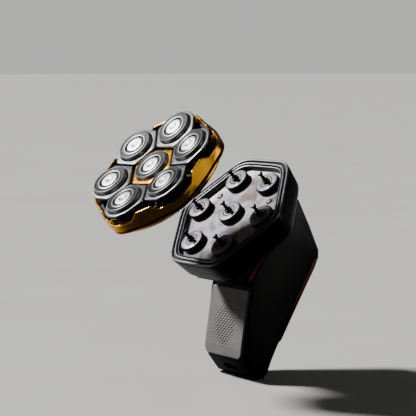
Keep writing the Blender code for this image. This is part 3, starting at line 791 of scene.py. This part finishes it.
def build_deck(mats):
    """Two satin beads with the black gasket in the groove between them and a groove inside the
    second bead painted black as shade, then the recessed floor, and its screws.

    The profile gives the inset from the rim, the height and the look of the next strip.
    """
    profile = [(22, DECK_FLOOR - 0.5, 1), (3.0, DECK_FLOOR - 0.5, 1), (3.0, POD_TOP + GAP, 1),
               (0.15, POD_TOP + GAP, 0), (0.0, -0.75, 0), (0.02, -0.45, 0),
               (0.14, -0.2, 0), (0.36, -0.05, 0), (0.62, 0.0, 0), (0.86, -0.05, 0),
               (1.02, -0.2, 0), (1.1, -0.4, 1), (1.12, -0.9, 1), (2.1, -0.9, 1), (2.12, -0.45, 0),
               (2.22, -0.2, 0), (2.4, -0.06, 0), (2.7, 0.0, 0), (2.95, -0.06, 0), (3.1, -0.2, 0),
               # The strips from (3.16, -0.45) to (3.8, -0.6) line the inner groove, painted black as
               # shade.
               (3.16, -0.45, 1), (3.2, -1.1, 1), (3.75, -1.1, 1), (3.8, -0.6, 0),
               (3.95, -0.45, 0), (4.15, -0.5, 0), (4.3, -0.8, 0), (4.6, DECK_FLOOR + 0.5, 0),
               (4.75, DECK_FLOOR + 0.15, 0), (5.1, DECK_FLOOR, 2), (12, DECK_FLOOR, 2),
               (22, DECK_FLOOR, 2)]
    rings = [rim_ring(inset, height) for inset, height, _ in profile]
    piece("deck_plate_round", skin(rings, bands=[band for _, _, band in profile[:-1]]),
          [mats["rim"], mats["gasket"], mats["deck"]], DECK, "handle_body",
          ["deck_plate", "deck_gasket"], sharp=45)

    for number, angle in enumerate(SCREW_ANGLES, 1):
        place = DECK @ turned(angle, "Z") @ placed(SCREW_RADIUS, 0, 0) @ turned(20, "Z")
        # A flat black ring round each screw: painted shade of a recess.
        shade_ring = [(1.75, DECK_FLOOR), (1.75, DECK_FLOOR + 0.05), (1.6, DECK_FLOOR + 0.1),
                (1.45, DECK_FLOOR + 0.06)]
        piece(f"screw_shade_ring_{number}", lathe(shade_ring, SMALL_ROUND), mats["gasket"], place, "handle_body")
        head = [(1.2, DECK_FLOOR), (1.2, DECK_FLOOR + 0.35), (1.0, DECK_FLOOR + 0.6),
                (0.4, DECK_FLOOR + 0.7)]
        screw = piece(f"deck_screw_round_{number}", lathe(head, SMALL_ROUND), mats["deck"], place,
                      "handle_body", [f"deck_screw_{number}"])
        cut(screw, box_rows(0.4, 3.0, DECK_FLOOR + 0.4, DECK_FLOOR + 2, 0.05), place)


def build_bushes(mats):
    top = [(1.3, -0.5), (1.3, -0.12), (1.42, 0.0), (1.75, 0.0), (1.85, -0.18), (2.05, -0.18),
           (2.15, 0.0), (2.75, 0.0), (2.85, -0.3), (3.25, -0.3), (3.35, 0.0), (5.35, 0.0),
           (5.6, -0.06), (5.78, -0.22), (5.82, -0.5)]
    bands = [0, 0, 0, 1, 1, 1, 0, 1, 1, 1, 0, 0, 0, 0]
    # Each boss's side is near-black, painted shade below a top in the deck's colour.
    side = [(5.6, DECK_FLOOR + 0.02), (6.05, DECK_FLOOR + 0.02), (BUSH_R, DECK_FLOOR + 0.3),
            (BUSH_R, -0.75), (6.02, -0.5), (5.84, -0.38), (5.7, -0.4)]
    for number in range(HEADS):
        place = spindle_frame(number)
        piece(f"bush_top_{number}", lathe(top, bands=bands), [mats["deck"], mats["gasket"]], place,
              "handle_body", [f"spindle_bush_{number}"])
        piece(f"bush_side_shade_{number}", lathe(side), mats["boss_side"], place, "handle_body")


def build_spindles(mats):
    top = TIP_HEIGHT
    shaft = [(1.15, -0.4), (1.15, 0.28), (1.5, 0.32), (1.6, 0.45), (1.6, 1.15), (1.5, 1.3),
             (1.2, 1.35), (1.2, 1.7), (1.0, 1.85), (0.86, 1.95), (0.86, 3.4), (0.7, 3.6),
             (0.7, top - 1.6), (0.5, top - 1.2)]
    fork = [(-0.62, top - 2.4), (0.62, top - 2.4), (0.66, top - 1.5), (0.9, top - 1.0),
            (1.28, top - 0.55), (1.3, top - 0.2), (1.02, top), (0.55, top - 0.22),
            (0.0, top - 0.62), (-0.55, top - 0.22), (-1.02, top), (-1.3, top - 0.2),
            (-1.28, top - 0.55), (-0.9, top - 1.0), (-0.66, top - 1.5)]
    for number in range(HEADS):
        place = spindle_frame(number)
        body = f"spindle_body_{number}"
        piece(f"spindle_shaft_{number}", lathe(shaft, SMALL_ROUND), mats["spindle"], place, body,
              [f"spindle_{number}"])
        blade = piece(f"spindle_tip_{number}", skin([[(a, t, b) for a, b in fork]
                                                     for t in (-0.62, 0.62)]),
                      mats["spindle"], place @ turned(78, "Z"), body)
        rounded(blade, 0.12, 2)
        settle(blade)


# ---- cutter cartridge -------------------------------------------------------------------------
def cap_rows(top):
    """Rows of a cutter cap from its hub outwards: radius, height below the top, slotted, arc."""
    profile = [(0.35, -0.35, 0, 0), (0.6, -0.3, 0, 0), (0.75, -0.12, 0, 0), (1.3, -0.03, 0, 0),
               (1.5, 0.0, 0, 0), (1.54, 0.0, 0, 1), (1.9, 0.0, 0, 1), (1.94, 0.0, 0, 0),
               (3.2, -0.02, 0, 0), (3.75, -0.06, 0, 0), (3.95, -0.15, 0, 0), (4.05, -0.45, 0, 0),
               (4.1, -0.75, 0, 0), (4.8, -0.75, 0, 0), (4.88, -0.45, 0, 0), (4.98, -0.15, 0, 0),
               (5.15, -0.03, 0, 0), (5.6, 0.0, 0, 0), (5.85, -0.08, 0, 0), (5.95, -0.28, 0, 0),
               (6.0, -0.3, 0, 0), (6.04, -0.3, 1, 0), (7.15, -0.24, 1, 0), (7.19, -0.24, 0, 0),
               (7.28, -0.2, 0, 0), (7.42, -0.06, 0, 0), (7.65, 0.0, 0, 0), (7.95, -0.05, 0, 0),
               (8.25, -0.25, 0, 0), (8.42, -0.5, 0, 0), (CAP_R, -0.85, 0, 0),
               (CAP_R, -CAP_DEPTH, 0, 0), (CAP_R - 0.6, -CAP_DEPTH, 0, 0)]
    slot = 2 * math.pi / SLOTS
    columns = [(k * slot + part * slot, number > 1) for k in range(SLOTS)
               for number, part in enumerate(SLOT_PARTS)]
    rows = []
    for radius, height, slotted, in_arc in profile:
        row = []
        for angle, down in columns:
            z = top + height
            if slotted and down:
                z -= SLOT_DEPTH
            degrees = math.degrees(angle) % 360
            if in_arc and (30 < degrees < 150 or 210 < degrees < 330):
                z -= ARC_DEPTH
            row.append((radius * math.cos(angle), radius * math.sin(angle), z))
        rows.append(row)
    return rows, profile


def build_heads(mats):
    for number in range(HEADS):
        place = head_frame(number)
        outer = number > 0
        top = CAP_TOP if outer else CENTRE_CAP_TOP
        angle = HEAD_ANGLES[number - 1] if outer else 0
        body = f"head_body_{number}"
        rows, profile = cap_rows(top)
        cap_bands = []
        for radius, *_ in profile[:-1]:
            # The ridge ring and the rounded outer edge get the lighter steel; on the edge it is a
            # painted highlight.
            ridge = CAP_RIDGE[0] < radius < CAP_RIDGE[1] or radius > CAP_RIM_HIGHLIGHT
            cap_bands.append(2 if radius < CAP_GROOVE[0] else 3 if ridge else 0)

        def dark(row, column, profile=profile):
            """The slots, the groove and two quarters of the arc get the second look."""
            quarter = column * 8 // (SLOTS * len(SLOT_PARTS)) % 4 < 2
            slotted = profile[row][2] and profile[row + 1][2]
            in_arc = profile[row][3] and profile[row + 1][3]
            if ((slotted and column % len(SLOT_PARTS) == 2) or (in_arc and quarter)
                    or CAP_GROOVE[0] < profile[row][0] < CAP_GROOVE[1]):
                return 1
            return None
        piece(f"cap_{number}", skin(rows, bands=cap_bands, darker=dark),
              [mats["cap"], mats["cap_slot"], mats["cap_face"], mats["cap_ridge_and_rim_highlight"]],
              place @ turned(-TWIST - angle, "Z"), body, [f"cutter_cap_{number}"], sharp=40,
              spun=True)

        plate = top - PLATE_STEP
        inner = CAP_R + GAP
        looks = ["plate", "plate_edge_highlight"] if outer else ["gold_lip", "gold_lip"]
        # Strips 3 to 5, the chamfer round each plate, take the second look: on the outer heads a
        # lighter silver painted as an edge highlight.
        edge_highlight_rows = [1 if i in (3, 4, 5) else 0 for i in range(9)]
        rings = [circle(inner, plate - 1.0, FINE_ROUND), circle(inner, plate - 0.15, FINE_ROUND),
                 circle(inner + 0.15, plate, FINE_ROUND), plate_ring(outer, -0.42, plate),
                 plate_ring(outer, -0.18, plate - 0.06), plate_ring(outer, -0.02, plate - 0.22),
                 plate_ring(outer, 0.03, plate - 0.5), plate_ring(outer, 0.05, plate - 0.9),
                 plate_ring(outer, -0.5, plate - 1.0)]
        piece(f"head_plate_{number}", skin(rings, wrap=True, bands=edge_highlight_rows),
              [mats[look] for look in looks], place, body,
              [f"head_frame_{number}"], sharp=40)
        rings = [circle(inner, plate - 1.02, FINE_ROUND), plate_ring(outer, -0.15, plate - 1.02),
                 plate_ring(outer, 0.12, plate - 1.2), plate_ring(outer, 0.2, plate - 1.5),
                 plate_ring(outer, -0.2, plate - 2.2), plate_ring(outer, -0.9, plate - PLATE_DEPTH),
                 circle(inner, plate - PLATE_DEPTH, FINE_ROUND)]
        piece(f"head_skirt_{number}", skin(rings, wrap=True), mats["inner" if outer else "gold"],
              place, body, sharp=40)


def from_head(degrees):
    """Degrees to the nearest outer head."""
    return abs((degrees + HEAD_STEP / 2) % HEAD_STEP - HEAD_STEP / 2)


def band_edge(degrees):
    """Height of the band's upper edge: low under a head, steep up to a pillar between heads."""
    away = from_head(degrees)
    low = BAND_TOP + SCALLOP_RISE
    if away > PILLAR_FROM:
        return PILLAR_TOP
    if away > SCALLOP_TO:
        return low + (PILLAR_TOP - low) * (away - SCALLOP_TO) / (PILLAR_FROM - SCALLOP_TO)
    return low


def cup(degrees):
    """How much of the full swell the band has here, 1 under the middle of a head."""
    return math.exp(-(from_head(degrees) / CUP_SPREAD) ** 2)


def band_radius(degrees, height):
    """Outer radius of the band: swelling under a head, leaning and flat-sided on a pillar."""
    lean = LEAN - CUP_UPRIGHT * cup(degrees)
    radius = BAND_SIDE_R + CUP_SWELL * cup(degrees) - lean * max(height - LEAN_FROM, 0.0)
    from_pillar = HEAD_STEP / 2 - from_head(degrees)
    half_pillar = HEAD_STEP / 2 - PILLAR_FROM
    if height > BAND_TOP - 1.5 and from_pillar < half_pillar:
        radius *= math.cos(math.radians(half_pillar)) / math.cos(math.radians(from_pillar))
    return radius


def build_band(mats):
    """Gilded band with a dark groove, scalloped edge, faceted pillars and a rolled lip."""
    columns = [BAND_STEP * i for i in range(round(360 / BAND_STEP))]

    def ring(size, height, share=0.0):
        """Size and height may be functions of the angle; share is how much of the swell it has."""
        points = []
        for degrees in columns:
            r = size(degrees) if callable(size) else size + share * CUP_SWELL * cup(degrees)
            z = height(degrees) if callable(height) else height
            angle = math.radians(degrees)
            points.append((r * math.cos(angle), r * math.sin(angle), z))
        return points

    def outer(below):
        return lambda degrees: band_radius(degrees, band_edge(degrees) - below)

    def edge(below):
        return lambda degrees: band_edge(degrees) - below

    foot = [(BAND_INNER_R, GAP), (30.5, GAP), (31.1, 0.7, 0.2), (31.7, 1.7, 0.6),
            (BAND_R, 2.3, 0.8), (BAND_R, 2.7, 0.9), (31.7, 2.9, 0.9), (31.0, 3.0, 0.9),
            (31.0, 3.7, 0.9), (31.6, 3.85, 1.0), (BAND_SIDE_R, 4.1, 1.0)]
    groove = 7
    rings = [ring(*row) for row in foot]
    rings += [ring(outer(0.9), edge(0.9)), ring(outer(0.3), edge(0.3)),
              ring(lambda degrees: outer(0.3)(degrees) - 0.7, edge(0.3)),
              ring(BAND_INNER_R, edge(0.9))]
    bands = [1 if i == groove else 0 for i in range(len(rings))]
    piece("band_gold", skin(rings, wrap=True, bands=bands), [mats["gold"], mats["gasket"]], CART,
          "cartridge_body", ["cartridge_frame"], sharp=9)

    def lip(degrees):
        return LIP_R + LIP_GROWTH * cup(degrees)

    tube = []
    for i in range(LIP_SIDES):
        turn = 2 * math.pi * i / LIP_SIDES
        out, up = math.cos(turn), math.sin(turn)
        tube.append(ring(lambda degrees, out=out: (outer(0.3)(degrees) + 0.2
                                                   - lip(degrees) * (1 - out)),
                         lambda degrees, up=up: band_edge(degrees) - lip(degrees) * (1 - up)))
    piece("band_lip", skin(tube, wrap=True), mats["gold_lip"], CART, "cartridge_body", sharp=70)


def repaint(mats):
    """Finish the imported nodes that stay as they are."""
    rotors = [f"rotor_{i}" for i in range(HEADS)]
    for look, nodes in (("inner", ["gear_plate", "retainer_plate"]),
                        ("steel", ["motor", "holding_magnet", *rotors]),
                        ("cell", ["battery"]), ("board", ["circuit_board"])):
        for node in nodes:
            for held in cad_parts[node].material_slots:
                held.material = mats[look]


# ---- studio -----------------------------------------------------------------------------------
VIEW_AZIMUTH = 50.965
VIEW_ELEVATION = 5.547
VIEW_DISTANCE = 660.0
VIEW_SHIFT = (-9.64, 1.21)
LENS = 122.97
SENSOR = 36.0
FAR = 100.0                     # metres
FLOOR_HALF = 40000.0
FLOOR_SHADES = (0.5, 0.02)      # of the floor as a light source, on the left and on the right
FLOOR_TURN = (-0.09, 0.01)      # metres in X between which one shade becomes the other
KEY_FROM = (-0.606, -0.429, 0.670)
KEY_WIDTH = 9.0
KEY_STRENGTH = 5.0
WORLD_SHOWN = ((0.80, 0.80, 0.79, 1.0), 0.7)
# direction, cosines between which it rises, lowest and highest level
WORLD_LOBES = [((-0.9, 0.1, 0.6), -0.1, 0.95, 0.004, 0.085),
               ((-1.0, 0.03, -0.05), 0.93, 0.985, 0.0, 3.0),
               ((0.66, 0.74, 0.04), 0.955, 0.975, 0.0, 2.6),
               ((0.868, 0.328, 0.373), 0.965, 0.98, 0.0, 0.75)]
WORLD_FILL = 0.045


def view_axes():
    """Right, up and back directions of the camera."""
    azimuth, elevation = math.radians(VIEW_AZIMUTH), math.radians(VIEW_ELEVATION)
    back = Vector((math.sin(azimuth) * math.cos(elevation),
                   -math.cos(azimuth) * math.cos(elevation), math.sin(elevation)))
    right = Vector((math.cos(azimuth), math.sin(azimuth), 0))
    return right, back.cross(right), back


def add_camera():
    right, up, back = view_axes()
    data = bpy.data.cameras.new("camera")
    data.lens = LENS
    data.sensor_width = SENSOR
    data.clip_end = FAR
    camera = bpy.data.objects.new("camera", data)
    bpy.context.scene.collection.objects.link(camera)
    place = Matrix((right, up, back)).transposed().to_4x4()
    place.translation = (Vector(DECK_CENTRE) + back * VIEW_DISTANCE + right * VIEW_SHIFT[0]
                         + up * VIEW_SHIFT[1]) * MM
    camera.matrix_world = place
    bpy.context.scene.camera = camera


def add_sun(name, direction, width, strength):
    """A large far light; width is the angle it spans, which sets how soft its shadows are."""
    data = bpy.data.lights.new(name, "SUN")
    data.angle = math.radians(width)
    data.energy = strength
    light = bpy.data.objects.new(name, data)
    bpy.context.scene.collection.objects.link(light)
    light.rotation_euler = Vector(direction).to_track_quat("Z", "Y").to_euler()


def build_studio(mats):
    bm = bmesh.new()
    corners = [(-1, -1), (1, -1), (1, 1), (-1, 1)]
    bm.faces.new([bm.verts.new(Vector((x, y, 0)) * FLOOR_HALF * MM) for x, y in corners])
    mesh = bpy.data.meshes.new("studio_floor")
    bm.to_mesh(mesh)
    bm.free()
    mesh.materials.append(mats["floor"])
    floor = bpy.data.objects.new("studio_floor", mesh)
    bpy.context.scene.collection.objects.link(floor)

    build_world()
    add_sun("key", KEY_FROM, KEY_WIDTH, KEY_STRENGTH)
    add_camera()


def build_world():
    """Pale to the eye; in reflections bright at the upper left, with cards on both sides."""
    world = bpy.data.worlds.new("studio")
    world.use_nodes = True
    tree = world.node_tree
    shown = tree.nodes["Background"]
    shown.inputs["Color"].default_value, shown.inputs["Strength"].default_value = WORLD_SHOWN
    place = tree.nodes.new("ShaderNodeTexCoord")
    total = None
    for direction, start, end, low, high in WORLD_LOBES:
        towards = tree.nodes.new("ShaderNodeVectorMath")
        towards.operation = "DOT_PRODUCT"
        towards.inputs[1].default_value = Vector(direction).normalized()
        tree.links.new(place.outputs["Generated"], towards.inputs[0])
        level = tree.nodes.new("ShaderNodeMapRange")
        level.interpolation_type = "SMOOTHSTEP"
        for socket, value in (("From Min", start), ("From Max", end), ("To Min", low),
                              ("To Max", high)):
            level.inputs[socket].default_value = value
        tree.links.new(towards.outputs["Value"], level.inputs["Value"])
        added = tree.nodes.new("ShaderNodeMath")
        tree.links.new(level.outputs["Result"], added.inputs[0])
        added.inputs[1].default_value = 0
        if total:
            tree.links.new(total.outputs[0], added.inputs[1])
        total = added
    light = tree.nodes.new("ShaderNodeBackground")
    tree.links.new(total.outputs[0], light.inputs["Strength"])
    fill = tree.nodes.new("ShaderNodeBackground")
    fill.inputs["Strength"].default_value = WORLD_FILL
    path = tree.nodes.new("ShaderNodeLightPath")
    source = fill
    for ray, other in (("Is Glossy Ray", light), ("Is Camera Ray", shown)):
        mix = tree.nodes.new("ShaderNodeMixShader")
        tree.links.new(path.outputs[ray], mix.inputs[0])
        tree.links.new(source.outputs[0], mix.inputs[1])
        tree.links.new(other.outputs[0], mix.inputs[2])
        source = mix
    tree.links.new(source.outputs[0], tree.nodes["World Output"].inputs["Surface"])
    bpy.context.scene.world = world


def main():
    mats = make_materials()
    build_handle(mats)
    build_back_cover(mats)
    build_sides(mats)
    build_grip(mats)
    build_pod(mats)
    build_deck(mats)
    build_bushes(mats)
    build_spindles(mats)
    build_heads(mats)
    build_band(mats)
    repaint(mats)
    build_studio(mats)


main()
